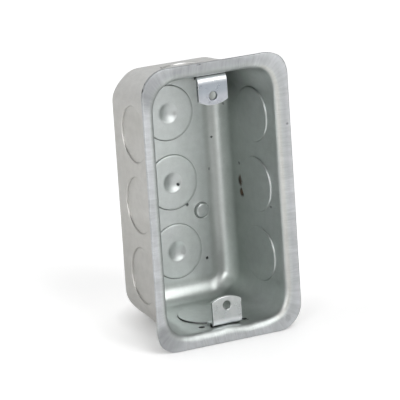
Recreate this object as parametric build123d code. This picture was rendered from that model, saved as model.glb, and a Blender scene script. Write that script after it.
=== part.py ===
"""One-gang utility junction box, deep-drawn from one sheet of galvanised steel.

Frame: +Z runs up the long side and the opening faces -Y. The origin is midway between the two device
screw holes, in the front faces of the ears. All sizes are in millimetres.
"""

import os
from math import radians, sqrt, tan

from build123d import *

# Sheet and drawn body
SHEET = 1.6  # sheet thickness of the box
DEPTH = 46.0  # front of the flange to the outside of the back
OPENING_W = 52.4  # clear width between the side walls, at the flange face
CORNER_R = 12.0  # inside radius of the four upright corners, at the flange face
BACK_R = 9.5  # inside radius between the walls and the back
DRAFT_DEG = 2.8  # lean of the four walls towards the back
MOST_OF_CORNER = 0.97  # share of the corner radius that the back rounding may reach

# Flange
FLANGE_MARGIN = 5.4  # opening edge to flange edge
FLANGE_CORNER_R = 10.5  # radius of the trimmed flange corners
BEND_R = 1.4  # inside radius of the bend, cut as a flat under the flange

# Device ears
DEVICE_SPACING = 83.3  # centre distance of the two device screws
EAR_HOLE_INSET = 8.55  # end wall to screw centre, at the flange face
EAR_HOLE_D = 3.5  # screw hole
EAR_SHEET = 1.5  # strip thickness of an ear
EAR_W = 12.7  # strip width
EAR_SETBACK = 2.7  # flange face to the front of an ear
EAR_TIP = 3.6  # screw centre to the end of an ear
EAR_TIP_R = 12.2  # radius of the arched end
EAR_FOOT = 5.8  # front of an ear to the end of its foot
EAR_BEND_R = 1.1  # inside radius of the bend between ear and foot
SIDE_HOLE_D = 2.5  # small round holes beside each ear's foot
SIDE_HOLE_GAP = 1.7  # foot edge to the edge of a small hole

# Knockouts
KNOCKOUT_D = 22.2  # half-inch trade size
KNOCKOUT_PITCH = 28.2  # spacing along the back and along the side walls
KNOCKOUT_PUSH = 0.6  # how far a knockout is pushed inwards
KNOCKOUTS_IN_ROW = 3
SIDE_ROW_SETBACK = 18.3  # flange face to the row in a side wall
BACK_ROW_X = 0.8  # sideways place of the row on the back
FOOT_CLEARANCE = 0.4  # ear foot to end knockout
DIMPLE_D = 8.0  # dent in the middle of each back knockout
DIMPLE_DEPTH = 0.45

# Raised boss on the back
BOSS_D = 6.3
BOSS_H = 1.1
BOSS_WALL = 0.8
BOSS_BEVEL = 0.4
BOSS_X = 13.1
BOSS_Z = -13.5

OPENING_H = DEVICE_SPACING + 2 * EAR_HOLE_INSET
FRONT_Y = -EAR_SETBACK
BACK_Y = FRONT_Y + DEPTH
LIP_R = BEND_R + SHEET
LEAN = tan(radians(DRAFT_DEG))
KNOCKOUT_R = KNOCKOUT_D / 2
SIDE_ROW_Y = FRONT_Y + SIDE_ROW_SETBACK
END_KNOCKOUT_Y = EAR_FOOT + FOOT_CLEARANCE + KNOCKOUT_R
ROW = [(i - (KNOCKOUTS_IN_ROW - 1) / 2) * KNOCKOUT_PITCH for i in range(KNOCKOUTS_IN_ROW)]


def front_plane(y):
    """Plane across the box at y, facing the back, with its own y along +Z."""
    return Plane(origin=(0, y, 0), x_dir=(-1, 0, 0), z_dir=(0, 1, 0))


def cup(wall, depth):
    """Solid of the drawn form, grown outwards by wall, with a rounded far end."""
    outline = RectangleRounded(OPENING_W + 2 * wall, OPENING_H + 2 * wall, CORNER_R + wall)
    body = extrude(front_plane(FRONT_Y) * outline, depth, taper=DRAFT_DEG)
    corner_at_back = CORNER_R + wall - LEAN * depth
    far_edges = body.faces().sort_by(Axis.Y)[-1].edges()
    return fillet(far_edges, min(BACK_R + wall, MOST_OF_CORNER * corner_at_back))


def drawn_shell():
    """The open box with its flange, before anything is punched."""
    flange_outline = RectangleRounded(
        OPENING_W + 2 * FLANGE_MARGIN, OPENING_H + 2 * FLANGE_MARGIN, FLANGE_CORNER_R
    )
    flange = extrude(front_plane(FRONT_Y) * flange_outline, SHEET)
    solid = cup(SHEET, DEPTH) + flange - cup(0, DEPTH - SHEET)
    opening_edges = solid.faces().sort_by(Axis.Y)[0].inner_wires()[0].edges()
    solid = fillet(opening_edges, LIP_R)
    flat_faces = solid.faces().filter_by(Axis.Y)
    under_flange = flat_faces.sort_by(Axis.Y)[1]
    return chamfer(under_flange.inner_wires()[0].edges(), BEND_R)


def side_wall_plane(side, y, z):
    """Outward plane on the outside of the left (-1) or right (1) wall, at y and z."""
    out = OPENING_W / 2 + SHEET - LEAN * (y - FRONT_Y)
    return Plane(origin=(side * out, y, z), x_dir=(0, 0, 1), z_dir=(side, LEAN, 0))


def end_wall_plane(end, x, y):
    """Outward plane on the outside of the lower (-1) or upper (1) end wall, at x and y."""
    out = OPENING_H / 2 + SHEET - LEAN * (y - FRONT_Y)
    return Plane(origin=(x, y, end * out), x_dir=(1, 0, 0), z_dir=(0, LEAN, end))


def back_plane(x, z):
    """Outward plane on the outside of the back, at x and z."""
    return Plane(origin=(x, BACK_Y, z), x_dir=(1, 0, 0), z_dir=(0, 1, 0))


def disc(plane, radius, top, bottom):
    """Cylinder on a plane's normal, between two heights above the plane."""
    return plane * Pos(0, 0, (top + bottom) / 2) * Cylinder(radius, top - bottom)


def knockout_planes():
    """Outward planes at the centres of the knockouts in the side and end walls."""
    planes = []
    for side in (-1, 1):
        planes += [side_wall_plane(side, SIDE_ROW_Y, z) for z in ROW]
        planes.append(end_wall_plane(side, 0, END_KNOCKOUT_Y))
    return planes


def back_planes():
    """Outward planes at the centres of the knockouts in the back."""
    return [back_plane(BACK_ROW_X, z) for z in ROW]


def dimple_sphere_radius():
    """Radius of the shallow ball whose cap has the dimple's width and depth."""
    return ((DIMPLE_D / 2) ** 2 + DIMPLE_DEPTH**2) / (2 * DIMPLE_DEPTH)


def box_shell():
    """The whole sheet: drawn box, half-sheared knockouts, dimples, boss and small holes."""
    solid = drawn_shell()
    planes = knockout_planes() + back_planes()
    for plane in planes:
        solid -= disc(plane, KNOCKOUT_R, SHEET, -KNOCKOUT_PUSH)
    for plane in planes:
        solid += disc(plane, KNOCKOUT_R, -KNOCKOUT_PUSH, -KNOCKOUT_PUSH - SHEET)

    ball_r = dimple_sphere_radius()
    ball_height = -KNOCKOUT_PUSH - SHEET - ball_r + DIMPLE_DEPTH
    for plane in back_planes():
        bulge = plane * Pos(0, 0, ball_height) * Sphere(ball_r + SHEET)
        solid += bulge & disc(plane, DIMPLE_D, 0, -KNOCKOUT_PUSH - SHEET / 2)
        solid -= plane * Pos(0, 0, ball_height) * Sphere(ball_r)

    boss_plane = back_plane(BOSS_X, BOSS_Z)
    boss = disc(boss_plane, BOSS_D / 2, -SHEET / 2, -SHEET - BOSS_H)
    boss = chamfer(boss.faces().sort_by(Axis.Y)[0].edges(), BOSS_BEVEL)
    solid += boss
    solid -= disc(boss_plane, BOSS_D / 2 - BOSS_WALL, SHEET, -BOSS_H)

    hole_x = EAR_W / 2 + SIDE_HOLE_GAP + SIDE_HOLE_D / 2
    hole_y = EAR_FOOT - SIDE_HOLE_D / 2
    for end in (-1, 1):
        for side in (-1, 1):
            plane = end_wall_plane(end, side * hole_x, hole_y)
            solid -= disc(plane, SIDE_HOLE_D / 2, SHEET, -2 * SHEET)
    return solid


def device_ear(end):
    """Bent strip: a foot along the inside of an end wall and an arched tongue across the opening."""
    wall_z = OPENING_H / 2 - LEAN * EAR_SETBACK
    tip_z = DEVICE_SPACING / 2 - EAR_TIP
    across = EAR_SHEET * sqrt(1 + LEAN**2)

    outer_corner = (0, wall_z)
    foot_end = (EAR_FOOT, wall_z - LEAN * EAR_FOOT)
    foot_inside = (EAR_FOOT, wall_z - LEAN * EAR_FOOT - across)
    inner_corner = (EAR_SHEET, wall_z - LEAN * EAR_SHEET - across)
    side_view = Polyline(
        (0, tip_z), outer_corner, foot_end, foot_inside, inner_corner, (EAR_SHEET, tip_z), close=True
    )
    strip = extrude(Plane.YZ * make_face(side_view), EAR_W / 2, both=True)
    for corner, radius in ((outer_corner, EAR_BEND_R + EAR_SHEET), (inner_corner, EAR_BEND_R)):
        bend_edge = strip.edges().filter_by(Axis.X).sort_by_distance((0, *corner))[0]
        strip = fillet(bend_edge, radius)

    shoulder_z = tip_z + EAR_TIP_R - sqrt(EAR_TIP_R**2 - (EAR_W / 2) ** 2)
    left = (-EAR_W / 2, shoulder_z)
    right = (EAR_W / 2, shoulder_z)
    arch = ThreePointArc(left, (0, tip_z), right)
    sides = Polyline(right, (EAR_W / 2, OPENING_H), (-EAR_W / 2, OPENING_H), left)
    front_view = front_plane(0) * make_face([arch, sides])
    hole = front_plane(0) * Pos(0, DEVICE_SPACING / 2) * Circle(EAR_HOLE_D / 2)
    strip &= extrude(front_view - hole, EAR_FOOT)
    return strip if end > 0 else strip.mirror(Plane.XY)


os.makedirs("parts", exist_ok=True)
export_step(box_shell(), "parts/box_shell.step")
export_step(device_ear(1), "parts/upper_device_ear.step")
export_step(device_ear(-1), "parts/lower_device_ear.step")
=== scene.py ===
from math import cos, pi, radians, sin, tan

import bmesh
import bpy
import numpy as np
from mathutils import Matrix, Vector


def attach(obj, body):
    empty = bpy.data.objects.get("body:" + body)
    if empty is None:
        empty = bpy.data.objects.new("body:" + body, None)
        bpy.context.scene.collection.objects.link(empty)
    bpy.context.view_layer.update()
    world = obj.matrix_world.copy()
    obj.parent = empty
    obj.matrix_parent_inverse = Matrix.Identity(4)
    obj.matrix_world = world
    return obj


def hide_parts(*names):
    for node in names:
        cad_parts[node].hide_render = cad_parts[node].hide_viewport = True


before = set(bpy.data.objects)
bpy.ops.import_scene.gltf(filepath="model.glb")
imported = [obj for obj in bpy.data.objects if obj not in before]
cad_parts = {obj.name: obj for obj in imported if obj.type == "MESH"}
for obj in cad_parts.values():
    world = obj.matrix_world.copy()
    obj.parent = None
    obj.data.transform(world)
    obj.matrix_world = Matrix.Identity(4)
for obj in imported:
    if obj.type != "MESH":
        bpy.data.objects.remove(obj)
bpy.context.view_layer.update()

# Box shell: one sheet of galvanised steel, deep drawn into a rounded box with a flange round its opening.
# Knockouts are half sheared and stand in towards the cavity, the back ones with a round dimple, and a
# boss is pressed up beside them. Nothing is joined on: front face, rim and outside are one closed skin.
MM = 0.001
SHEET = 1.6  # sheet thickness
CORE = np.array([14.2, 38.2])  # half lengths of the straight walls, the same at every depth
RIM_CORE = np.array([21.1, 45.1])  # half lengths of the straight flange edges
RIM_R = 10.5  # flange corners
CUP_SHIFT = -0.66  # the drawn box sits this far off the middle of its trimmed flange
MOUTH_R = 12.0  # upright corners of the opening, at the flange's face
FRONT_Y = -2.7
BACK_Y = 41.7  # back, less the sheet's thickness
BACK_R = 9.5  # round between walls and back, outside, less the sheet's thickness
INNER_BACK_Y = 40.4  # inside of the back, a little further in
INNER_BACK_R = 6.8  # and its tighter round
LIP_R = 3.0  # round from wall to flange
LEAN = radians(2.8)
TURN = pi / 2 - LEAN  # angle of both rounds
CORNER_UNIT = 11.5  # unrolled length of a corner, for one radian
TINY = 1e-9  # keeps the angle round a corner at 0 on the core's own edge

ROUND_Y = BACK_Y - BACK_R
ROUND_OUT = MOUTH_R - tan(LEAN) * (ROUND_Y - FRONT_Y) - BACK_R / cos(LEAN)
LIP_Y = FRONT_Y + LIP_R
LIP_OUT = MOUTH_R - tan(LEAN) * LIP_R + LIP_R / cos(LEAN)
WALL_LONG = (ROUND_Y + BACK_R * sin(LEAN) - LIP_Y + LIP_R * sin(LEAN)) / cos(LEAN)
AT_ROUND = ROUND_OUT  # unrolled places along a wall, from the core's edge: start of the back round
AT_WALL = AT_ROUND + BACK_R * TURN
AT_LIP = AT_WALL + WALL_LONG
AT_FLANGE = AT_LIP + LIP_R * TURN
AT_RIM = AT_FLANGE + RIM_CORE[0] + RIM_R - CORE[0] - LIP_OUT


def along_wall(s, inside):
    """Section of one face: flat back, back round, leaning wall, lip round, flat flange.

    s is the length along it from the core's edge, measured on the outer face's round. The inner face runs
    its own tighter round over the same s. Gives the distance out from the core, the depth y and the angle
    of the normal through the sheet.
    """
    back_y, back_r = (INNER_BACK_Y, INNER_BACK_R) if inside else (BACK_Y, BACK_R)
    round_y = back_y - back_r
    round_out = MOUTH_R - tan(LEAN) * (round_y - FRONT_Y) - back_r / cos(LEAN)
    at_wall = round_out + back_r * TURN
    longer = (back_y - BACK_Y - (back_r - BACK_R) * (1 - sin(LEAN))) / cos(LEAN) + at_wall - AT_WALL
    own = np.interp(s, [0, round_out, AT_WALL, AT_RIM], [0, round_out, AT_WALL + longer, AT_RIM + longer])
    back_angle = pi / 2 - (own - round_out) / back_r
    lip_angle = LEAN + (s - AT_LIP) / LIP_R
    on_wall = own - at_wall
    zones = [own < round_out, own < at_wall, s < AT_LIP, s < AT_FLANGE]
    angle = np.select(zones, [pi / 2, back_angle, LEAN, lip_angle], pi / 2)
    out = np.select(zones, [
        own,
        round_out + back_r * np.cos(back_angle),
        round_out + back_r * cos(LEAN) + on_wall * sin(LEAN),
        LIP_OUT - LIP_R * np.cos(lip_angle),
    ], LIP_OUT + s - AT_FLANGE)
    y = np.select(zones, [
        back_y,
        round_y + back_r * np.sin(back_angle),
        round_y + back_r * sin(LEAN) - on_wall * cos(LEAN),
        LIP_Y - LIP_R * np.sin(lip_angle),
    ], FRONT_Y)
    return out, y, angle


ROUND_THIN = 0.3  # share of the sheet's thickness lost where it was drawn over the punch's round
THIN_SKEW = 1.6  # sets the thinnest place past the middle of the round
CORNER_REACH = 13.0  # wall length over which a corner's own set fades
BACK_SET = -0.85  # how far the corners have drawn in at the back, along their diagonals
LIP_SET = {(-1, -1): 1.3, (1, -1): 0.8, (-1, 1): 0.3, (1, 1): 1.2}  # and how far out at the lip
RIM_SET = {(-1, -1): 1.4, (1, -1): 0.0, (-1, 1): 0.0, (1, 1): 0.7}  # and the trimmed rim
SET_PLACES = [0, AT_WALL - 5, AT_WALL + 3, AT_LIP, AT_FLANGE, AT_RIM]  # where along the section these hold
LIP_WAVE = 0.4  # how far the lower lip waves, up in the middle and down beside it
WAVE_AT = 9.5  # sideways place of its low part
WAVE_WIDE = 3.5
WAVE_PLACES = [AT_LIP - 4, AT_LIP + 1, AT_FLANGE - 1, AT_FLANGE + 1.6]  # where it starts, is full and ends


def settle(points, s):
    """Moves each drawn corner along its diagonal, by its own amount at each place of the section.

    The move fades as a squared cosine of the difference between the distances from the two walls. The lower
    lip waves as the difference of two bells, exp(-(x / w)^2) - exp(-((x - c) / w)^2).
    """
    half = CORE + MOUTH_R - tan(LEAN) * (points[..., 1:2] - FRONT_Y)
    gap = half - np.abs(points[..., [0, 2]])
    apart = np.clip(np.abs(gap[..., 0] - gap[..., 1]) / CORNER_REACH, 0, 1)
    moved = np.zeros(s.shape)
    for signs, lip in LIP_SET.items():
        here = (points[..., 0] * signs[0] > 0) & (points[..., 2] * signs[1] > 0)
        amounts = [0, BACK_SET, BACK_SET, lip, lip, RIM_SET[signs]]
        moved = np.where(here, np.interp(s, SET_PLACES, amounts), moved)
    moved *= np.cos(apart * pi / 2) ** 2 / 2**0.5
    points = points + moved[..., None] * np.sign(points) * np.array([1, 0, 1])
    x = points[..., 0]
    wave = LIP_WAVE * (np.exp(-(x / WAVE_WIDE) ** 2) - np.exp(-((x - WAVE_AT) / WAVE_WIDE) ** 2))
    wave *= np.interp(s, WAVE_PLACES, [0, 1, 1, 0])
    points[..., 2] += np.where(points[..., 2] < 0, wave, 0)
    return points


def sheet(p, q, depth, chart, inside=False):
    """Point of the drawn sheet, for unrolled coordinates p across and q along, and a depth into the sheet.

    Inside the core rectangle it is the flat back. Beyond it, the section runs out at right angles to the
    core's edge, and in the corners it fans round the core's corner by (q - core) / CORNER_UNIT radians.
    On the flange the core grows towards the rim's own core. Gives points and (loop, section) coordinates;
    loop is the distance round the opening from the middle of a side wall, up or down.
    """
    p, q, depth = np.broadcast_arrays(p, q, depth)
    beside = np.abs(p) > CORE[0] if chart == "end" else np.ones(p.shape, bool)
    past_p = np.maximum(np.abs(p) - CORE[0], 0)
    past_q = np.maximum(np.abs(q) - CORE[1], 0)
    s = np.where(beside, past_p, past_q)
    fan = np.where(beside, np.minimum(past_q / CORNER_UNIT, pi / 2), pi / 2)
    out, y, angle = along_wall(s, inside)
    if not inside:
        drawn = np.clip((s - AT_ROUND) / (AT_WALL - AT_ROUND), 0, 1)
        depth = depth * (1 - ROUND_THIN * np.sin(pi * drawn**THIN_SKEW) ** 2)
    share = np.clip((s - AT_FLANGE) / (AT_RIM - AT_FLANGE), 0, 1)
    out = out + share * (RIM_R - LIP_OUT - AT_RIM + AT_FLANGE) + depth * np.cos(angle)
    grow = 1 + share[..., None] * (RIM_CORE / CORE - 1)
    core = np.stack([np.clip(p, -CORE[0], CORE[0]), np.clip(q, -CORE[1], CORE[1])], -1) * grow
    x = core[..., 0] + np.sign(p) * out * np.cos(fan)
    z = core[..., 1] + np.sign(q) * out * np.sin(fan)
    over = np.maximum(np.abs(np.stack([x, z], -1)) - CORE, 0)
    turned = CORNER_UNIT * np.arctan2(over[..., 1], over[..., 0] + TINY)
    loop = np.sign(z) * (np.minimum(np.abs(z), CORE[1]) + turned)
    loop += np.sign(z) * np.where(over[..., 1] > 0, np.maximum(CORE[0] - np.abs(x), 0), 0)
    points = settle(np.stack([x, y + depth * np.sin(angle), z], -1), s)
    points[..., 0] += CUP_SHIFT * (1 - share)
    return points, np.stack([loop, s], -1)


class Skin:
    """Collects grids of points as quads, then closes them into one mesh."""

    def __init__(self):
        self.points, self.uvs, self.marks, self.quads, self.count = [], [], [], [], 0

    def grid(self, points, uvs, keep=None, around=False, cut_shade=0.0, outside=0.0, worked=0.0):
        """Quads between the rows and columns of a point grid. keep drops cells; around joins the last row.

        For the material, the first mark gives the painted shade of sheared faces, cracks, grooves and bores,
        outside marks the sheet's outer face, and worked the places that a punch has burnished.
        """
        rows, columns = points.shape[:2]
        index = np.arange(rows * columns).reshape(rows, columns) + self.count
        if around:
            index = np.concatenate([index, index[:1]])
        cells = np.stack([index[:-1, :-1], index[1:, :-1], index[1:, 1:], index[:-1, 1:]], -1)
        self.quads.append(cells[keep] if keep is not None else cells.reshape(-1, 4))
        self.points.append(points.reshape(-1, 3))
        self.uvs.append(np.broadcast_to(uvs, points.shape[:2] + (2,)).reshape(-1, 2))
        marks = np.broadcast_arrays(cut_shade, outside, worked, points[..., 0])[:3]
        self.marks.append(np.stack(marks, -1).reshape(-1, 3))
        self.count += rows * columns

    def piece(self, name):
        """Merges points that coincide, drops the doubled corners of pole faces, and makes the object."""
        points = np.concatenate(self.points) * MM
        uvs = np.concatenate(self.uvs) * MM
        quads = np.concatenate(self.quads)
        _, first, merged = np.unique(np.round(points, 7), axis=0, return_index=True, return_inverse=True)
        corners = merged.reshape(-1)[quads]
        doubled = corners == np.roll(corners, 1, axis=1)
        real = doubled.sum(1) < 2
        kept = ~doubled[real]
        sizes = kept.sum(1)
        mesh = bpy.data.meshes.new(name)
        mesh.vertices.add(len(first))
        mesh.vertices.foreach_set("co", points[first].astype(np.float32).reshape(-1))
        mesh.loops.add(int(sizes.sum()))
        mesh.loops.foreach_set("vertex_index", corners[real][kept].astype(np.int32))
        mesh.polygons.add(len(sizes))
        mesh.polygons.foreach_set("loop_start", (np.cumsum(sizes) - sizes).astype(np.int32))
        layer = mesh.uv_layers.new(name="unrolled")
        layer.uv.foreach_set("vector", uvs[quads[real][kept]].astype(np.float32).reshape(-1))
        marks = np.concatenate(self.marks)[first].astype(np.float32)
        for column, label in enumerate(("cut_shade", "outside", "worked")):
            layer = mesh.attributes.new(label, "FLOAT", "POINT")
            layer.data.foreach_set("value", np.ascontiguousarray(marks[:, column]))
        mesh.update(calc_edges=True)
        work = bmesh.new()
        work.from_mesh(mesh)
        bmesh.ops.recalc_face_normals(work, faces=work.faces)
        work.to_mesh(mesh)
        work.free()
        mesh.shade_smooth()
        made = bpy.data.objects.new(name, mesh)
        bpy.context.scene.collection.objects.link(made)
        return made


def stations(places, steps):
    """Grid lines from place to place, with that many even steps in each stretch."""
    runs = [np.linspace(a, b, n, endpoint=False) for a, b, n in zip(places[:-1], places[1:], steps)]
    return np.concatenate(runs + [np.array(places[-1:])])


# The pressed features: their sizes, then their places on the unrolled sheet
KNOCKOUT_R = 11.1
KNOCKOUT_PUSH = 0.6
PITCH = 28.2  # spacing of the knockouts in a row
BACK_ROW_X = 0.8
SIDE_ROW_Y = 15.6
END_KNOCKOUT_Y = 17.3
DIMPLE_R = 4.0
DIMPLE_DEPTH = 0.65
DIMPLE_BRIM = 0.8  # width of the soft brim
DIMPLE_REACH = 1.2 * DIMPLE_R  # where the brim has died out
HOLE_X, HOLE_Y = 9.3, 4.55
HOLE_R = 1.25
HOLE_BRIM = {True: 0.15, False: 0.08}  # rounding of a small hole's edge, inside and outside
HOLE_SKIRT = 0.65  # flat ring round a small hole
BOSS_X, BOSS_Z = 13.1, -13.5
BOSS_R = 3.15
BOSS_H = 1.1
BOSS_BRIM = 0.95  # round of the boss's brim
BOSS_GROOVE_SHADE = 0.7  # how dark its groove is painted, as shade
INNER_OFF = np.array([-0.67, 0.35])  # how far the back's features are off, inside from outside


def wall_place(y):
    """Unrolled place of a depth y on a wall: its distance from the back round, over the lean's cosine."""
    return AT_WALL + (ROUND_Y + BACK_R * sin(LEAN) - y) / cos(LEAN)


SIDE_S = wall_place(SIDE_ROW_Y)
END_S = wall_place(END_KNOCKOUT_Y)
HOLE_S = wall_place(HOLE_Y)
BACK_ROW_P = BACK_ROW_X - CUP_SHIFT
BOSS_P = BOSS_X - CUP_SHIFT
TILE = 12.0  # half side of the square of sheet that a knockout is worked in
BACK_TILE = 12.5  # half width of the squares on the back
BOSS_TILE_P, BOSS_TILE_Q = (9.2, 18.3), (-18.0, -9.0)
HOLE_TILE_P = 7.0  # inner edge of a small hole's square
TILE_SPARE = 1.0  # how far that square reaches past the knockouts' squares

past_back = PITCH + TILE - CORE[1]
S_LINES = stations(
    [0, AT_ROUND, past_back, AT_WALL, END_S - TILE, SIDE_S - TILE, END_S + TILE, SIDE_S + TILE,
     SIDE_S + TILE + TILE_SPARE, AT_LIP, AT_FLANGE, AT_RIM],
    [2, 2, 18, 3, 2, 22, 2, 1, 3, 10, 6],
)
corner_edge = past_back / CORNER_UNIT
FAN_LINES = CORNER_UNIT * stations([0, corner_edge, pi / 2], [2, 16])
half_q = stations([0, TILE, PITCH - TILE, CORE[1]], [12, 4, 22])
Q_CORE = np.concatenate([-half_q[:0:-1], half_q])
P_CORE = np.linspace(-CORE[0], CORE[0], 29)
P_ALL = np.concatenate([-(CORE[0] + S_LINES[:0:-1]), P_CORE, CORE[0] + S_LINES[1:]])
Q_END = np.concatenate([-(CORE[1] + S_LINES[:0:-1]), Q_CORE, CORE[1] + S_LINES[1:]])
Q_SIDE = np.concatenate([-(CORE[1] + FAN_LINES[:0:-1]), Q_CORE, CORE[1] + FAN_LINES[1:]])
FRONT_EDGE, UNDER_EDGE = 0.28, 0.12  # rounding of the flange's cut edge, front and under
NEAR = 1e-6  # grid lines this close are one


def nearest(lines, value):
    """The grid line nearest to a value."""
    return lines[np.argmin(np.abs(lines - value))]


def outline(corners, p_lines, q_lines):
    """Grid points along the sides of a right-angled polygon, in order."""
    runs = []
    for (p0, q0), (p1, q1) in zip(corners, corners[1:] + corners[:1]):
        level = abs(q0 - q1) < NEAR
        lines, a, b = (p_lines, p0, p1) if level else (q_lines, q0, q1)
        run = lines[(lines > min(a, b) - NEAR) & (lines < max(a, b) + NEAR)]
        run = (run if a < b else run[::-1])[:-1]
        fixed = np.full(len(run), q0 if level else p0)
        runs.append(np.stack([run, fixed] if level else [fixed, run], -1))
    return np.concatenate(runs)


def rays(edge, centre, radii):
    """Rings of points from a tile's outline in to circles about its centre, one column for each radius."""
    edge = edge - centre
    angle = np.arctan2(edge[:, 1], edge[:, 0])
    unit = np.stack([np.cos(angle), np.sin(angle)], -1)
    rings = unit[:, None, :] * np.asarray(radii)[None, :, None]
    return centre + np.concatenate([edge[:, None, :], rings], 1)


# Sections of a knockout by radius, height and painted shade: a crack round the slug, the sheared step, then
# the face. The inside stands proud by the push; the outside is let in by the same.
R = KNOCKOUT_R
SLUG_FACE = [R - 1.2, 9.0, 7.5, 6.2, 5.2]
INSIDE_STEP = [
    (R + 0.5, 0, 0), (R + 0.2, 0.0, 0), (R + 0.1, -0.03, 0.4), (R + 0.04, -0.12, 0.8), (R, -0.1, 0.8),
    (R - 0.03, 0.3, 0.1), (R - 0.08, 0.45, 0), (R - 0.17, 0.55, 0), (R - 0.32, 0.6, 0),
]
OUTSIDE_STEP = [
    (R + 0.5, 0, 0), (R + 0.32, 0.03, 0), (R + 0.18, 0.1, 0), (R + 0.08, 0.22, 0), (R + 0.03, 0.36, 0),
    (R, 0.58, 0.2), (R - 0.1, 0.63, 0.3), (R - 0.25, 0.6, 0),
]
PLAIN_MIDDLE = [3.5, 1.5, 0]  # last rings of a face without a dimple
END_CRACK_SHADES = [0.9, 1.0, 1.0, 0.9, 0.6]  # painted shade in the cracks of the end walls, from the third ring
UNDER_SHADE_W = 0.15  # width of the painted shade line under a dimpled knockout
UNDER_SHADE = 0.6  # and how dark that painted shade is


def dimple_rise(r):
    """A ball's shallow print with a soft brim: the smooth minimum of 0 and depth * ((r / radius)^2 - 1)."""
    bowl = DIMPLE_DEPTH * ((r / DIMPLE_R) ** 2 - 1)
    soft = DIMPLE_DEPTH * DIMPLE_BRIM / DIMPLE_R
    blend = np.clip(0.5 - bowl / (2 * soft), 0, 1)
    return bowl * blend - soft * blend * (1 - blend)


def knockout_rings(inside, dimpled):
    """Radii, heights and painted shade of a knockout's rings, on one face of the sheet."""
    step = INSIDE_STEP if inside else OUTSIDE_STEP
    radii = [r for r, _, _ in step] + SLUG_FACE
    heights = [h for _, h, _ in step] + [KNOCKOUT_PUSH] * len(SLUG_FACE)
    cut_shades = [c for _, _, c in step]
    bowl = np.linspace(DIMPLE_REACH, 0, 11) if dimpled else np.array(PLAIN_MIDDLE)
    rise = dimple_rise(bowl) if dimpled else np.zeros(len(bowl))
    cut_shades = np.pad(cut_shades, (0, len(SLUG_FACE) + len(bowl)))
    return np.concatenate([radii, bowl]), np.concatenate([heights, KNOCKOUT_PUSH + rise]), cut_shades


# Radius and height of the boss's rings: the groove round it and its flat top inside, and the hollow behind
BOSS_GROOVE = [(3.75, 0), (3.6, 0.04), (3.4, 0), (3.25, -0.1), (BOSS_R, -0.1)]
BOSS_TOP = [(1.2, BOSS_H), (0.6, BOSS_H), (0, BOSS_H)]
BOSS_HOLLOW = [
    (3.2, 0), (2.75, 0.04), (2.5, 0.16), (2.4, 0.4), (2.35, 0.75), (2.25, 0.96), (2.05, 1.06),
    (1.6, BOSS_H), (0.8, BOSS_H), (0, BOSS_H),
]


def boss_rings(inside):
    """Radii and heights of the boss. Inside, a quarter circle joins the groove to the flat top."""
    if not inside:
        return np.array(BOSS_HOLLOW).T
    angle = np.linspace(0, pi / 2, 9)
    brim_r = BOSS_R - BOSS_BRIM * (1 - np.cos(angle))
    brim_h = BOSS_H - BOSS_BRIM * (1 - np.sin(angle))
    return np.concatenate([BOSS_GROOVE, np.stack([brim_r, brim_h], -1), BOSS_TOP]).T


shell = Skin()
p_back = [nearest(P_ALL, BACK_ROW_P + side * BACK_TILE) for side in (-1, 1)]
p_end = [nearest(P_ALL, side * TILE) for side in (-1, 1)]
boss_p = [nearest(P_ALL, p) for p in BOSS_TILE_P]
boss_q = [nearest(Q_END, q) for q in BOSS_TILE_Q]
hole_p = [nearest(P_ALL, HOLE_TILE_P), p_end[1]]
hole_q = [nearest(Q_END, CORE[1] + s) for s in (END_S + TILE - TILE_SPARE, SIDE_S + TILE + TILE_SPARE)]


def box_corners(p_span, q_span):
    """Corners of a rectangle, anticlockwise from its least p and q."""
    return [(p_span[0], q_span[0]), (p_span[1], q_span[0]), (p_span[1], q_span[1]), (p_span[0], q_span[1])]


# Each tile: chart, centre, outline corners, and what is pressed in it
tiles = []
for row in (-PITCH, 0, PITCH):
    q_low, q_high = row - TILE, row + TILE
    corners = box_corners(p_back, (q_low, q_high))
    if row == 0:
        corners[1:2] = [(boss_p[0], q_low), (boss_p[0], boss_q[1]), (p_back[1], boss_q[1])]
    if row < 0:
        corners[2:3] = [(p_back[1], boss_q[0]), (boss_p[0], boss_q[0]), (boss_p[0], q_high)]
    tiles.append(("end", (BACK_ROW_P, row), corners, "dimpled"))
    for side in (-1, 1):
        middle = side * (CORE[0] + SIDE_S)
        corners = box_corners((middle - TILE, middle + TILE), (q_low, q_high))
        tiles.append(("side", (middle, row), corners, "plain"))
tiles.append(("end", (BOSS_P, BOSS_Z), box_corners(boss_p, boss_q), "boss"))
for end in (-1, 1):
    middle = CORE[1] + END_S
    (p0, p1), h0 = p_end, hole_p[0]
    top, notch = middle + TILE, hole_q[0]
    corners = [(p0, middle - TILE), (p1, middle - TILE), (p1, notch), (h0, notch), (h0, top), (-h0, top),
               (-h0, notch), (p0, notch)]
    tiles.append(("end", (0, end * middle), [(p, end * q) for p, q in corners], "plain"))
    for side in (-1, 1):
        corners = [(side * p, end * q) for p, q in box_corners(hole_p, hole_q)]
        tiles.append(("end", (side * HOLE_X - CUP_SHIFT, end * (CORE[1] + HOLE_S)), corners, "hole"))


def inside_polygon(p, q, corners):
    """Even-odd rule for cell centres against a polygon."""
    found = np.zeros(np.broadcast(p, q).shape, bool)
    for (p0, q0), (p1, q1) in zip(corners, corners[1:] + corners[:1]):
        if p0 == p1:
            found ^= (p < p0) & ((q > min(q0, q1)) & (q < max(q0, q1)))
    return found


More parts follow.
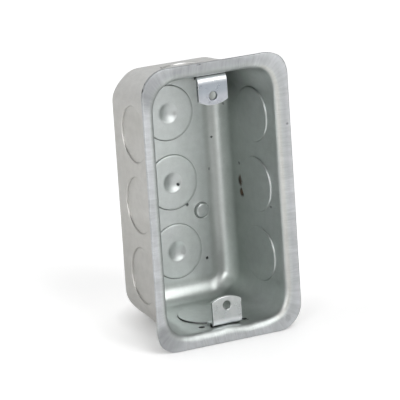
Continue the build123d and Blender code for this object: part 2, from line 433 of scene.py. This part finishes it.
# The two faces: a grid for the back with both end walls, and one for each side wall with its corners
for depth, edge in ((0.0, FRONT_EDGE), (SHEET, UNDER_EDGE)):
    s_lines = S_LINES.copy()
    s_lines[-1] -= edge
    q_end = Q_END.copy()
    q_end[[0, -1]] += np.array([edge, -edge])
    charts = [("end", P_CORE, q_end)]
    charts += [("side", side * (CORE[0] + s_lines), Q_SIDE) for side in (-1, 1)]
    for chart, p_lines, q_lines in charts:
        p_mid = (p_lines[:-1] + p_lines[1:])[:, None] / 2
        q_mid = (q_lines[:-1] + q_lines[1:])[None, :] / 2
        keep = np.ones((len(p_lines) - 1, len(q_lines) - 1), bool)
        for kind, _, corners, _ in tiles:
            flat = chart == kind or abs(corners[0][1]) < CORE[1]
            if flat:
                keep &= ~inside_polygon(p_mid, q_mid, corners)
        face = sheet(p_lines[:, None], q_lines[None, :], depth, chart, depth == 0)
        shell.grid(*face, keep, outside=depth / SHEET)

for chart, centre, corners, feature in tiles:
    edge = outline(corners, P_ALL, Q_END if chart == "end" else Q_SIDE)
    mouth = []
    for depth in (0.0, SHEET):
        inside = depth == 0
        if feature == "hole":
            brim = HOLE_BRIM[inside]
            radii = HOLE_R + np.array([HOLE_SKIRT, brim, 0.3 * brim, 0])
            heights = np.array([0, 0, 0.3 * brim, brim]) * (-1 if inside else 1)
            cut_shades = np.array([0, 0, 0.5, 1])
        elif feature == "boss":
            radii, heights = boss_rings(inside)
            cut_shades = np.where(heights < 0, BOSS_GROOVE_SHADE, 0)
        else:
            radii, heights, cut_shades = knockout_rings(inside, feature == "dimpled")
            if inside and chart == "end" and feature == "plain":
                cut_shades[2:7] = END_CRACK_SHADES
            if inside and chart == "side":
                cut_shades[2:6] = 0.0  # no crack shows in the side walls
                heights[2:5] = 0.0
        worked = (radii < DIMPLE_REACH) & (feature == "dimpled") | (heights > 0) & (feature == "boss")
        at = rays(edge, np.array(centre) + INNER_OFF * (inside and feature in ("dimpled", "boss")), radii)
        into = depth - np.concatenate([[0], heights])
        points, uvs = sheet(at[..., 0], at[..., 1], into[None, :], chart, inside)
        cut_shade_rings = np.concatenate([[0], cut_shades])[None, :]
        # Painted shade: the crack is darker on the slug's lower side, with a dark line below it
        if inside and feature == "dimpled":
            below = np.clip((centre[1] - at[:, 1:2, 1]) / KNOCKOUT_R, 0, 1)
            beside = np.concatenate([[0], np.exp(-((radii - KNOCKOUT_R - UNDER_SHADE_W) / UNDER_SHADE_W) ** 2)])
            cut_shade_rings = cut_shade_rings * (0.5 + 0.5 * below) + UNDER_SHADE * below * beside
        shell.grid(points, uvs, around=True, cut_shade=cut_shade_rings, outside=depth / SHEET,
                   worked=np.concatenate([[0], worked]))
        mouth.append((points[:, -1], uvs[:, -1]))
    if feature == "hole":
        levels = np.linspace(0, 1, 4)[None, :, None]
        bore = mouth[0][0][:, None] * (1 - levels) + mouth[1][0][:, None] * levels
        # painted shade inside the bore
        shell.grid(bore, mouth[0][1][:, None], around=True, cut_shade=1.0)

# The flange's cut edge: rolled over at the front, sharper under
RIM_RINGS = np.array([
    (FRONT_EDGE, 0), (0.16, 0.03), (0.06, 0.1), (0.01, 0.22), (0, 0.4), (0, 1.2), (0.02, 1.5),
    (UNDER_EDGE, SHEET),
])
rim_s = AT_RIM - RIM_RINGS[None, :, 0]
for side in (-1, 1):
    shell.grid(*sheet(side * (CORE[0] + rim_s), Q_SIDE[:, None], RIM_RINGS[None, :, 1], "side"))
    shell.grid(*sheet(P_CORE[:, None], side * (CORE[1] + rim_s), RIM_RINGS[None, :, 1], "end"))

box_shell = shell.piece("drawn_box_shell")


class Finish:
    """The node tree of a material or of the world, with short calls for adding and joining nodes."""

    def __init__(self, owner, shader):
        owner.use_nodes = True
        self.owner = owner
        self.tree = owner.node_tree
        self.shader = self.tree.nodes[shader]

    def node(self, kind, inputs=None, **settings):
        """Adds a node. inputs maps a socket to a value or to another node's output socket."""
        made = self.tree.nodes.new(kind)
        for key, value in settings.items():
            setattr(made, key, value)
        for key, value in (inputs or {}).items():
            if isinstance(value, bpy.types.NodeSocket):
                self.tree.links.new(value, made.inputs[key])
            else:
                made.inputs[key].default_value = value
        return made

    def link(self, socket, name):
        """Joins an output socket to one of the shader's inputs."""
        self.tree.links.new(socket, self.shader.inputs[name])

    def math(self, operation, first, *others):
        """Math nodes that carry one operation along numbers and sockets."""
        for other in others or (0.0,):
            first = self.node("ShaderNodeMath", {0: first, 1: other}, operation=operation).outputs[0]
        return first

    def plus(self, *values):
        """Sum of numbers and sockets."""
        return self.math("ADD", *values)

    def times(self, *values):
        """Product of numbers and sockets."""
        return self.math("MULTIPLY", *values)

    def greatest(self, *values):
        """The greatest of numbers and sockets."""
        return self.math("MAXIMUM", *values)

    def between(self, value, low, high, to_low=0.0, to_high=1.0):
        """Smooth step of a value from one range to another."""
        sockets = {"Value": value, "From Min": low, "From Max": high, "To Min": to_low, "To Max": to_high}
        return self.node("ShaderNodeMapRange", sockets, interpolation_type="SMOOTHSTEP").outputs[0]

    def band(self, value, start, full, fading, end):
        """Share that rises smoothly from start to full, and falls from fading to end."""
        return self.times(self.between(value, start, full), self.between(value, end, fading))

    def mix(self, share, a, b):
        """Colour mix; a and b are colours or sockets."""
        made = self.node("ShaderNodeMix", {"Factor": share, "A": a, "B": b}, data_type="RGBA")
        return made.outputs["Result"]

    def vector(self, operation, a, b):
        """One Vector Math node; a and b are vectors or sockets."""
        return self.node("ShaderNodeVectorMath", {0: a, 1: b}, operation=operation).outputs[0]

    def axis(self, vector, name):
        """One axis of a vector in metres, as a socket in mm."""
        return self.times(self.node("ShaderNodeSeparateXYZ", {0: vector}).outputs[name], 1 / MM)

    def attribute(self, label):
        """One of the marks that the mesh carries."""
        return self.node("ShaderNodeAttribute", attribute_name=label).outputs["Fac"]

    def noise(self, vector, scale, detail=2.0, roughness=0.5):
        """Noise value, scale in cycles per metre."""
        sockets = {"Vector": vector, "Scale": scale, "Detail": detail, "Roughness": roughness}
        return self.node("ShaderNodeTexNoise", sockets).outputs["Fac"]


# Tones of the zinc: pairs are its darker and lighter clouds. Inside, outside and flange differ more than
# one sheet's faces would, partly as painted light and shade
INSIDE_ZINC = ((0.565, 0.6, 0.585, 1), (0.6, 0.625, 0.62, 1))
OUTSIDE_ZINC = ((0.505, 0.5, 0.475, 1), (0.545, 0.54, 0.52, 1))
FLANGE_ZINC = ((0.485, 0.5, 0.51, 1), (0.55, 0.565, 0.58, 1))
DEEP_WALL_SHADE = (0.44, 0.48, 0.455, 1)  # painted shade on the inside of the walls, towards the back
UPPER_WALL_SHADE = (0.1, 0.11, 0.105, 1)  # and darker painted shade at their upper end
LOWER_WALL_SHADE = (0.27, 0.29, 0.28, 1)  # and painted shade on the lower end wall, at the right
DARK_BAND_ZINC = (0.43, 0.45, 0.43, 1)  # painted dark reflection on the first half of the back round, along the sides
PAINTED_HIGHLIGHT_ZINC = (0.86, 0.89, 0.87, 1)  # painted highlight on the second half of it, and on the rounds at the ends
TOP_LIGHT_ZINC = (0.76, 0.76, 0.745, 1)  # painted light on the outside, upper end
LOW_SHADE_ZINC = (0.43, 0.425, 0.405, 1)  # painted shade on the outside, lower end
LIP_HIGHLIGHT_ZINC = (0.585, 0.575, 0.545, 1)  # painted highlight on the crown of the right-hand lip
DARK_FLANGE_ZINC = (0.41, 0.42, 0.425, 1)  # and darker on the flange beside it
# painted shade in cracks, sheared steps, grooves and bores
CRACK_SHADE = (0.05, 0.05, 0.05, 1)
DIRT = (0.035, 0.037, 0.04, 1)
RUST_TONES = ((0.018, 0.014, 0.011, 1), (0.09, 0.055, 0.03, 1))
LINE_BUMP, LINE_HEIGHT = 0.75, 0.2 * MM  # strength and height of the draw lines
GRAIN_BUMP, GRAIN_HEIGHT = 0.012, 0.1 * MM  # and of the zinc's grain
RAGGED = 0.7 * MM  # how far a stain's edge wanders

# Dirt and rust seen in the photograph, and three broad patches that darken the flange at its top and
# left corners: middle and half sizes in mm, and how dark
STAINS = [
    ((18.8, 40.2, 15.9), (0.6, 0.7, 0.6), 0.9), ((16.9, 40.4, 3.1), (0.5, 0.6, 0.8), 0.4),
    ((13.4, 40.4, -33.0), (0.8, 0.8, 0.75), 1.0), ((6.1, 40.1, -9.9), (0.95, 0.9, 0.9), 0.85),
    ((2.5, 40.2, -0.9), (0.85, 0.8, 0.85), 1.0), ((24.0, 28.0, 6.4), (0.6, 0.9, 0.8), 0.6),
    ((25.1, 5.8, -7.7), (0.6, 0.9, 0.7), 0.6), ((23.1, 36.5, 29.4), (0.7, 0.7, 0.7), 0.5),
    ((-2.0, -2.7, 53.2), (26.0, 3.0, 5.0), 0.28), ((-27.5, -2.7, 47.0), (7.0, 3.0, 9.0), 0.3),
    ((-27.5, -2.7, -50.0), (8.0, 3.0, 7.0), 0.3),
    ((30.0, -2.7, 26.4), (0.6, 0.5, 0.6), 0.5), ((25.2, -2.7, -51.0), (1.6, 0.5, 1.9), 0.2),
    ((-29.9, -1.0, 51.0), (0.5, 1.0, 1.0), 0.9), ((-31.0, -1.6, 48.4), (0.4, 1.2, 1.5), 0.9),
    ((-8.8, 24.7, 50.5), (1.0, 1.2, 0.5), 0.8), ((-6.6, -2.4, 55.2), (1.7, 0.8, 0.35), 0.85),
    ((10.2, 3.1, -49.9), (0.5, 0.7, 0.5), 0.8),
]
RUST = [((24.1, 27.3, -0.7), (1.2, 2.7, 2.9)), ((24.1, 27.1, -5.3), (1.1, 2.0, 2.3))]

zinc = Finish(bpy.data.materials.new("galvanised_steel"), "Principled BSDF")
here = zinc.node("ShaderNodeTexCoord").outputs["Object"]
x = zinc.axis(here, "X")
z = zinc.axis(here, "Z")
unrolled = zinc.node("ShaderNodeUVMap", uv_map="unrolled").outputs[0]
loop = zinc.axis(unrolled, "X")
section = zinc.axis(unrolled, "Y")
cut_shade = zinc.attribute("cut_shade")
outside = zinc.attribute("outside")
worked = zinc.attribute("worked")
on_wall = zinc.between(section, AT_ROUND, AT_WALL)
on_round = zinc.band(section, AT_ROUND + 1.0, AT_ROUND + 5.0, AT_WALL - 4.0, AT_WALL - 1.0)
on_lip = zinc.between(section, AT_LIP, AT_FLANGE)
on_flange = zinc.between(section, AT_FLANGE - 1.2, AT_FLANGE + 0.6)

# Draw lines run along the section, so their noise is stretched that way, and moved from side to side
stretch = {0: zinc.times(loop, MM), 1: zinc.times(section, 0.06 * MM), 2: zinc.times(x, 0.05 * MM)}
stretched = zinc.node("ShaderNodeCombineXYZ", stretch).outputs[0]
lines = zinc.noise(stretched, 1700.0, 2.0, 0.6)
streaks = zinc.noise(stretched, 260.0, 3.0, 0.6)
cloud = zinc.noise(here, 60.0, 4.0, 0.6)
blotch = zinc.noise(here, 350.0, 3.0, 0.6)
grain = zinc.noise(here, 2200.0, 2.0, 0.6)

# Inside: painted shade darkens the walls towards the back, and the back round carries a painted dark band
# and painted highlights
cloudy = zinc.between(cloud, 0.3, 0.7)
inner_tone = zinc.mix(cloudy, *INSIDE_ZINC)
at_right = zinc.between(x, -15.0, 15.0, 0.1, 0.9)
wall_shade = zinc.between(section, AT_WALL, AT_LIP - 5.0, 1.0, 0.0)
wall_shade = zinc.times(on_wall, wall_shade, zinc.between(z, -49.0, -40.0, at_right, 1.0))
inner_tone = zinc.mix(wall_shade, inner_tone, DEEP_WALL_SHADE)
upper_wall_shade = zinc.times(wall_shade, zinc.between(z, 22.0, 45.0))
inner_tone = zinc.mix(upper_wall_shade, inner_tone, UPPER_WALL_SHADE)
# Painted dark reflection on the first half of the back round, along the sides
on_side = zinc.between(z, -45.0, -40.0)
dark_band = zinc.times(zinc.band(section, 1.0, 3.0, 6.0, 8.0), on_side, 0.55)
inner_tone = zinc.mix(dark_band, inner_tone, DARK_BAND_ZINC)
# Painted highlight on the second half of the back round, and on the rounds at the ends
side_highlight = zinc.times(zinc.band(section, 6.0, 8.5, 12.0, 16.0), on_side, 0.7)
end_highlight = zinc.times(on_round, zinc.between(x, 14.0, 20.0, 0.35, 1.0), zinc.math("SUBTRACT", 1.0, on_side))
inner_tone = zinc.mix(zinc.greatest(side_highlight, end_highlight), inner_tone, PAINTED_HIGHLIGHT_ZINC)
# Painted shade on the lower end wall, at the right
lower_wall_shade = zinc.times(zinc.between(z, -44.0, -48.0), zinc.between(x, 9.0, 19.0), wall_shade)
inner_tone = zinc.mix(lower_wall_shade, inner_tone, LOWER_WALL_SHADE)

# Outside, with painted light at the upper end and painted shade at the lower, then the flange and the
# right-hand lip
outer_tone = zinc.mix(cloudy, *OUTSIDE_ZINC)
outer_tone = zinc.mix(zinc.between(z, 33.0, 53.0), outer_tone, TOP_LIGHT_ZINC)
outer_tone = zinc.mix(zinc.between(z, 0.0, -30.0, 0.0, 0.6), outer_tone, LOW_SHADE_ZINC)
tone = zinc.mix(outside, inner_tone, outer_tone)
flange_tone = zinc.mix(zinc.between(streaks, 0.3, 0.7), *FLANGE_ZINC)
tone = zinc.mix(on_flange, tone, flange_tone)
right_side = zinc.between(x, 18.0, 22.0)
# Painted highlight on the crown of the right-hand lip, and darker on the flange beside it
lip_highlight = zinc.band(section, AT_LIP + 1.2, AT_LIP + 2.4, AT_FLANGE - 1.4, AT_FLANGE - 0.4)
tone = zinc.mix(zinc.times(lip_highlight, right_side, 0.6), tone, LIP_HIGHLIGHT_ZINC)
dark_flange_band = zinc.band(section, AT_FLANGE - 1.5, AT_FLANGE - 0.3, AT_FLANGE + 0.5, AT_FLANGE + 2.0)
tone = zinc.mix(zinc.times(dark_flange_band, right_side, zinc.between(z, -30.0, 30.0, 0.25, 0.6)), tone, DARK_FLANGE_ZINC)

wear = zinc.plus(
    zinc.between(blotch, 0.25, 0.75, 0.95, 1.03),
    zinc.times(on_wall, zinc.between(streaks, 0.2, 0.8, -0.03, 0.03)),
    zinc.between(grain, 0.2, 0.8, -0.03, 0.03),
    zinc.times(worked, -0.09),
    zinc.times(on_lip, zinc.between(lines, 0.3, 0.7, -0.06, 0.045)),
)
tone = zinc.node("ShaderNodeVectorMath", {0: tone, "Scale": wear}, operation="SCALE").outputs[0]
# Painted shade in cracks, sheared steps, grooves and bores
tone = zinc.mix(zinc.times(cut_shade, 0.85), tone, CRACK_SHADE)

ragged = zinc.node("ShaderNodeTexNoise", {"Vector": here, "Scale": 1500.0, "Detail": 2.0}).outputs["Color"]
wander = zinc.vector("MULTIPLY", zinc.vector("SUBTRACT", ragged, [0.5] * 3), [RAGGED] * 3)
warped = zinc.vector("ADD", here, wander)


def spot(middle, half):
    """Share of an ellipsoid stain: 1 inside, fading to 0 at its half sizes in mm."""
    apart = zinc.vector("SUBTRACT", warped, np.array(middle) * MM)
    scaled = zinc.vector("DIVIDE", apart, np.array(half) * MM)
    reach = zinc.node("ShaderNodeVectorMath", {0: scaled}, operation="LENGTH").outputs["Value"]
    return zinc.between(reach, 1.05, 0.5)


dirt_and_patches = zinc.greatest(*[zinc.times(spot(middle, half), dark) for middle, half, dark in STAINS])
rust = zinc.greatest(*[spot(middle, half) for middle, half in RUST])
tone = zinc.mix(dirt_and_patches, tone, DIRT)
tone = zinc.mix(rust, tone, zinc.mix(zinc.between(blotch, 0.4, 0.65), *RUST_TONES))
zinc.link(tone, "Base Color")
dull = zinc.greatest(dirt_and_patches, rust)
zinc.link(zinc.between(dull, 0.0, 1.0, 1.0, 0.25), "Metallic")
rough = zinc.plus(
    zinc.between(grain, 0.2, 0.8, -0.03, 0.03),
    zinc.between(cloud, 0.3, 0.7, 0.41, 0.45),
    zinc.times(worked, -0.1),
    zinc.times(on_round, -0.03),
    zinc.between(on_lip, 0.0, 0.6, 0.0, 0.06),
    zinc.times(zinc.greatest(dull, cut_shade), 0.25),
)
zinc.link(rough, "Roughness")
height = zinc.times(lines, on_wall, zinc.between(on_lip, 0.0, 1.0, 0.06, 1.0))
drawn = zinc.node("ShaderNodeBump", {"Height": height, "Strength": LINE_BUMP, "Distance": LINE_HEIGHT})
grained = {"Height": grain, "Strength": GRAIN_BUMP, "Distance": GRAIN_HEIGHT, "Normal": drawn.outputs[0]}
zinc.link(zinc.node("ShaderNodeBump", grained).outputs[0], "Normal")
box_shell.data.materials.append(zinc.owner)
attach(box_shell, "root")
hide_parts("box_shell")

# Device ears: strips of bright zinc-plated steel, bent to an L. The foot is spot-welded inside the end wall,
# and the arched tongue stands across the opening with a tapped hole for the device screw.
EAR_SHEET = 1.5
EAR_HALF_W = 6.35
EAR_TIP_Z = 38.05
EAR_TIP_R = 12.2  # radius of the arched end
EAR_PLATE = 9.29  # tip to the start of the bend
EAR_BEND_R = 2.6  # outside of the bend
EAR_FOOT = 3.08  # flat length of the foot
EAR_HOLE = 3.6  # tip to the middle of the screw hole
EAR_HOLE_R = 1.75
THREAD_PITCH = 0.79
THREAD_DEEP = 0.16
THREAD_FADE = 0.2  # depth over which the thread dies out at each face
THREAD_RINGS = 29
WORN_DEEP = 0.2  # how far down its edge an ear is worn bright
EAR_BRIM = [(2.15, 0), (1.98, -0.01), (1.9, 0), (1.84, 0.04), (EAR_HOLE_R, 0.12)]  # radius and depth
EAR_TILE_W = 0.44  # the square that the hole is worked in, as shares of the tongue
EAR_TILE_A = (0.09, 0.68)
EAR_BEND_END = EAR_PLATE + EAR_BEND_R * (pi / 2 + LEAN)
EAR_RINGS = np.array([
    (0.22, 0), (0.11, 0.03), (0.03, 0.1), (0, 0.24), (0, 0.75), (0, 1.3), (0.03, 1.42), (0.1, 1.48),
    (0.18, EAR_SHEET),
])  # inset and depth of the rings round a strip's edge


def ear_strip(w, a, depth):
    """Point of an ear, w across, a along its outer face from the tip, and a depth into the strip.

    The section is a straight tongue, an arc of 90 degrees plus the wall's lean, then the straight foot.
    """
    turn = np.clip((a - EAR_PLATE) / EAR_BEND_R, 0, pi / 2 + LEAN)
    on_plate = np.minimum(a, EAR_PLATE)
    on_foot = np.maximum(a - EAR_BEND_END, 0)
    y = EAR_BEND_R * (1 - np.cos(turn)) + on_foot * cos(LEAN) + depth * np.cos(turn)
    z = EAR_TIP_Z + on_plate + EAR_BEND_R * np.sin(turn) - on_foot * sin(LEAN) - depth * np.sin(turn)
    return np.stack(np.broadcast_arrays(w, y, z), -1)


def ear_place(across, along, inset):
    """Flat coordinates (w, a) on an ear trimmed by inset.

    across runs from -1 to 1. along runs from 0 to 1 over the tongue, which starts at its arched end
    tip_r - sqrt(tip_r^2 - w^2), to 2 over the bend and to 3 over the foot.
    """
    w = across * (EAR_HALF_W - inset)
    arch = EAR_TIP_R - np.sqrt(EAR_TIP_R**2 - w**2) + inset
    tongue = arch + np.minimum(along, 1) * (EAR_PLATE - arch)
    bend = np.clip(along - 1, 0, 1) * (EAR_BEND_END - EAR_PLATE)
    foot = np.clip(along - 2, 0, 1) * (EAR_FOOT - inset)
    return np.broadcast_arrays(w, tongue + bend + foot)


ACROSS = np.concatenate([[-1, -0.985], np.linspace(-0.94, 0.94, 25), [0.985, 1]])
ALONG = stations([0, 0.015, *EAR_TILE_A, 1, 2, 2.95, 3], [1, 3, 14, 6, 14, 6, 1])
tile_w = [nearest(ACROSS, side * EAR_TILE_W) for side in (-1, 1)]
tile_a = [nearest(ALONG, a) for a in EAR_TILE_A]
tile_edge = outline(box_corners(tile_w, tile_a), ACROSS, ALONG)
loop_edge = outline(box_corners((-1, 1), (0, 3)), ACROSS, ALONG)

ears = []
for name, end in (("upper", 1), ("lower", -1)):
    strip = Skin()
    flip = np.array([1, 1, end])
    brims = []
    for inset, depth, out in ((EAR_RINGS[0][0], 0.0, 1), (EAR_RINGS[-1][0], EAR_SHEET, -1)):
        w, a = ear_place(ACROSS[:, None], ALONG[None, :], inset)
        across_mid = (ACROSS[:-1] + ACROSS[1:])[:, None] / 2
        along_mid = (ALONG[:-1] + ALONG[1:])[None, :] / 2
        keep = ~((np.abs(across_mid) < tile_w[1]) & (along_mid > tile_a[0]) & (along_mid < tile_a[1]))
        strip.grid(ear_strip(w, a, depth) * flip, np.stack([w, a], -1), keep)
        edge = np.stack(ear_place(tile_edge[:, 0], tile_edge[:, 1], inset), -1)
        at = rays(edge, np.array([0, EAR_HOLE]), [radius for radius, _ in EAR_BRIM])
        into = depth + out * np.array([0] + [sunk for _, sunk in EAR_BRIM])
        points = ear_strip(at[..., 0], at[..., 1], into) * flip
        strip.grid(points, at, around=True)
        brims.append((at[:, -1], into[-1]))
    (front_brim, front), (_, rear) = brims
    spin = np.arctan2(front_brim[:, 1] - EAR_HOLE, front_brim[:, 0])[:, None]
    bored = np.linspace(front, rear, THREAD_RINGS)[None, :]
    fade = np.clip(np.minimum(bored - front, rear - bored) / THREAD_FADE, 0, 1)
    crest = 0.5 + 0.5 * np.cos(2 * pi * bored / THREAD_PITCH - spin)
    radius = EAR_HOLE_R - THREAD_DEEP * crest * fade
    bore_w = radius * np.cos(spin)
    bore_a = EAR_HOLE + radius * np.sin(spin)
    strip.grid(ear_strip(bore_w, bore_a, bored) * flip, np.stack([bore_w, bore_a], -1), around=True)
    inset, depth = EAR_RINGS.T[:, None, :]
    w, a = ear_place(loop_edge[:, :1], loop_edge[:, 1:], inset)
    worn = np.where((depth > 0) & (depth < WORN_DEEP), 1.0, 0.0)
    strip.grid(ear_strip(w, a, depth) * flip, np.stack([w, a], -1), around=True, worked=worn)
    ears.append(strip.piece(name + "_ear_strip"))

# Tones of the plating: pairs are its darker and lighter spangles. The two ears' tones differ, partly as
# painted light
UPPER_PLATE = ((0.43, 0.45, 0.485, 1), (0.49, 0.51, 0.545, 1))
LOWER_PLATE = ((0.45, 0.475, 0.465, 1), (0.515, 0.535, 0.525, 1))
SCUFFED_PLATE = (0.34, 0.355, 0.37, 1)
SHADED_PLATE = (0.34, 0.375, 0.415, 1)  # tongue, towards the bend
# painted highlight along the bend
BEND_HIGHLIGHT = (0.72, 0.74, 0.755, 1)
WORN_EDGE = (0.9, 0.91, 0.92, 1)
SEAM_SHADE = (0.03, 0.03, 0.03, 1)  # painted shade where the bend meets the wall
PLATE_BUMP, PLATE_HEIGHT = 0.012, 0.1 * MM  # strength and height of the spangles

plate = Finish(bpy.data.materials.new("zinc_plated_steel"), "Principled BSDF")
here = plate.node("ShaderNodeTexCoord").outputs["Object"]
level = plate.axis(here, "Z")
along = plate.axis(plate.node("ShaderNodeUVMap", uv_map="unrolled").outputs[0], "Y")
spangle = plate.noise(here, 300.0, 2.0, 0.5)
spangled = plate.between(spangle, 0.35, 0.65)
scuffs = plate.between(plate.noise(here, 700.0, 3.0, 0.6), 0.58, 0.72)
is_upper = plate.between(level, -20.0, 20.0)
tone = plate.mix(is_upper, plate.mix(spangled, *LOWER_PLATE), plate.mix(spangled, *UPPER_PLATE))
tone = plate.mix(plate.times(scuffs, 0.2), tone, SCUFFED_PLATE)
shade = plate.band(along, 2.5, 6.0, EAR_PLATE - 1.2, EAR_PLATE + 0.6)
shade = plate.times(shade, plate.between(level, 0.0, 20.0, 0.15, 0.75))
tone = plate.mix(shade, tone, SHADED_PLATE)
# Painted highlight along the bend
tone = plate.mix(plate.between(along, EAR_PLATE - 1.0, EAR_PLATE + 0.8), tone, BEND_HIGHLIGHT)
tone = plate.mix(plate.times(plate.attribute("worked"), 0.8), tone, WORN_EDGE)
# Painted shade where the bend meets the wall
seam_shade = plate.band(along, EAR_PLATE + 2.2, EAR_PLATE + 2.9, EAR_BEND_END, EAR_BEND_END + 0.7)
plate.link(plate.mix(seam_shade, tone, SEAM_SHADE), "Base Color")
plate.shader.inputs["Metallic"].default_value = 1.0
plate.link(plate.between(spangle, 0.3, 0.7, 0.27, 0.31), "Roughness")
bump = plate.node("ShaderNodeBump", {"Height": spangle, "Strength": PLATE_BUMP, "Distance": PLATE_HEIGHT})
plate.link(bump.outputs[0], "Normal")
for ear, node in zip(ears, ("upper_device_ear", "lower_device_ear")):
    ear.data.materials.append(plate.owner)
    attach(ear, "root")
    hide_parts(node)

# Studio: a sheet of white paper that the box leans back on, softboxes round its front, a room that is
# light behind it, and the photograph's camera. None of it is part of the object.
LEAN_BACK = radians(8.0)  # tilt between the box and the paper
PAPER_HALF = 3.0  # half side of the paper, in metres
PAPER_WHITE = (0.9, 0.9, 0.9, 1)
PAPER_ROUGH = 0.9
FRONT_LIFT, BACK_LIFT = 3.05, 5.1  # how bright the paper shows in front of the box's foot, and behind it
FAR_LIFT = 2.4  # and how much more away from the box
LIFT_SHARE = 0.1  # share of that in what is seen
LIFT_IN_METAL = 0.4  # part of the share that metal reflects
CONTACT_SHADOW_REACH = 0.01  # reach of the painted contact shadow where the box meets the paper, in metres

scene = bpy.context.scene
scene.view_settings.view_transform = "Standard"

foot = np.array([0, FRONT_Y + SHEET, -(RIM_CORE[1] + RIM_R)]) * MM
to_right = np.array([1, 0, 0])
to_back = np.array([0, cos(LEAN_BACK), sin(LEAN_BACK)])
corners = np.array([(-1, -1), (1, -1), (1, 1), (-1, 1)]) * PAPER_HALF
floor_points = foot + corners[:, :1] * to_right + corners[:, 1:] * to_back
floor_mesh = bpy.data.meshes.new("floor")
floor_mesh.from_pydata(floor_points.tolist(), [], [(0, 1, 2, 3)])
floor = bpy.data.objects.new("floor", floor_mesh)
scene.collection.objects.link(floor)

paper = Finish(bpy.data.materials.new("white_paper"), "Principled BSDF")
paper.shader.inputs["Base Color"].default_value = PAPER_WHITE
paper.shader.inputs["Roughness"].default_value = PAPER_ROUGH
away = paper.axis(paper.node("ShaderNodeTexCoord").outputs["Object"], "Y")
behind = paper.between(away, 0.0, 50.0, FRONT_LIFT, BACK_LIFT)
far = paper.between(paper.math("ABSOLUTE", away), 50.0, 500.0, 0.0, FAR_LIFT)
# Painted contact shadow: ambient occlusion dims the paper's lift near the box
contact_shadow = paper.node("ShaderNodeAmbientOcclusion", {"Distance": CONTACT_SHADOW_REACH}).outputs["AO"]
lit = paper.node("ShaderNodeEmission", {"Strength": paper.times(paper.plus(behind, far), contact_shadow)})
ray = paper.node("ShaderNodeLightPath").outputs
in_metal = paper.times(ray["Is Glossy Ray"], LIFT_IN_METAL)
seen = paper.greatest(ray["Is Camera Ray"], in_metal, ray["Is Transmission Ray"])
seen = paper.times(seen, LIFT_SHARE)
blend = paper.node("ShaderNodeMixShader", {0: seen, 1: paper.shader.outputs[0], 2: lit.outputs[0]})
paper.tree.links.new(blend.outputs[0], paper.tree.nodes["Material Output"].inputs["Surface"])
floor_mesh.materials.append(paper.owner)

ROOM_RIGHT, ROOM_BEHIND = 0.04, 0.68  # brightness of the room in front at the right, and behind
WHITE_IN_METAL = 0.03  # share of the white background that metal reflects

sky = Finish(bpy.data.worlds.new("studio"), "Background")
scene.world = sky.owner
looking = sky.node("ShaderNodeTexCoord").outputs["Generated"]
way = sky.node("ShaderNodeSeparateXYZ", {0: looking}).outputs
in_front = sky.between(way["X"], -0.4, 0.4, 0.0, ROOM_RIGHT)
room = sky.between(way["Y"], -0.25, 0.35, in_front, ROOM_BEHIND)
ray = sky.node("ShaderNodeLightPath").outputs
in_metal = sky.times(ray["Is Glossy Ray"], WHITE_IN_METAL)
white = sky.greatest(ray["Is Camera Ray"], ray["Is Transmission Ray"], in_metal)
shown = sky.node("ShaderNodeMapRange", {"Value": white, "To Min": room, "To Max": 1.0})
sky.link(shown.outputs[0], "Strength")
sky.shader.inputs["Color"].default_value = (1, 1, 1, 1)

LAMP_AWAY = 0.7  # metres from the box
LAMP_SIDE, LAMP_TALL = 0.3, 0.54  # sides of the softboxes, in metres


def softbox(name, azimuth, elevation, watts, height=LAMP_SIDE):
    """Lamp facing the box. Its angles are in degrees, azimuth from the front and to the right."""
    data = bpy.data.lights.new(name, "AREA")
    data.shape = "RECTANGLE"
    data.size = LAMP_SIDE
    data.size_y = height
    data.energy = watts
    made = bpy.data.objects.new(name, data)
    turn, rise = radians(azimuth), radians(elevation)
    way_to = Vector((sin(turn) * cos(rise), -cos(turn) * cos(rise), sin(rise)))
    made.location = way_to * LAMP_AWAY
    made.rotation_euler = way_to.to_track_quat("Z", "Y").to_euler()
    scene.collection.objects.link(made)


softbox("front_softbox", 10, 24, 1.4, LAMP_TALL)
softbox("front_right_softbox", 32, 24, 0.75, LAMP_TALL)
softbox("key_softbox", 25, 56, 1.45)
softbox("front_left_softbox", -50, 20, 1.75)
softbox("left_softbox", -94, 6, 1.5)
softbox("low_softbox", 24, 4, 0.2)

CAMERA_AT = Vector((-599.019, -1152.023, 311.07)) * MM
CAMERA_TURN = radians(27.1296)  # from the front, to the left
CAMERA_RISE = radians(13.4323)
CAMERA_ROLL = radians(-3.8194)
CAMERA_SENSOR, CAMERA_LENS = 36.0, 311.02  # mm
CAMERA_REACH = 20.0  # metres

camera_data = bpy.data.cameras.new("camera")
camera = bpy.data.objects.new("camera", camera_data)
level_right = Vector((cos(CAMERA_TURN), -sin(CAMERA_TURN), 0))
level_toward = Vector((-sin(CAMERA_TURN), -cos(CAMERA_TURN), 0))
toward = level_toward * cos(CAMERA_RISE) + Vector((0, 0, sin(CAMERA_RISE)))
right = level_right * cos(CAMERA_ROLL) + toward.cross(level_right) * sin(CAMERA_ROLL)
turned = Matrix((right, toward.cross(right), toward)).transposed().to_4x4()
camera.matrix_world = Matrix.Translation(CAMERA_AT) @ turned
camera_data.sensor_width = CAMERA_SENSOR
camera_data.lens = CAMERA_LENS
camera_data.clip_end = CAMERA_REACH
scene.collection.objects.link(camera)
scene.camera = camera
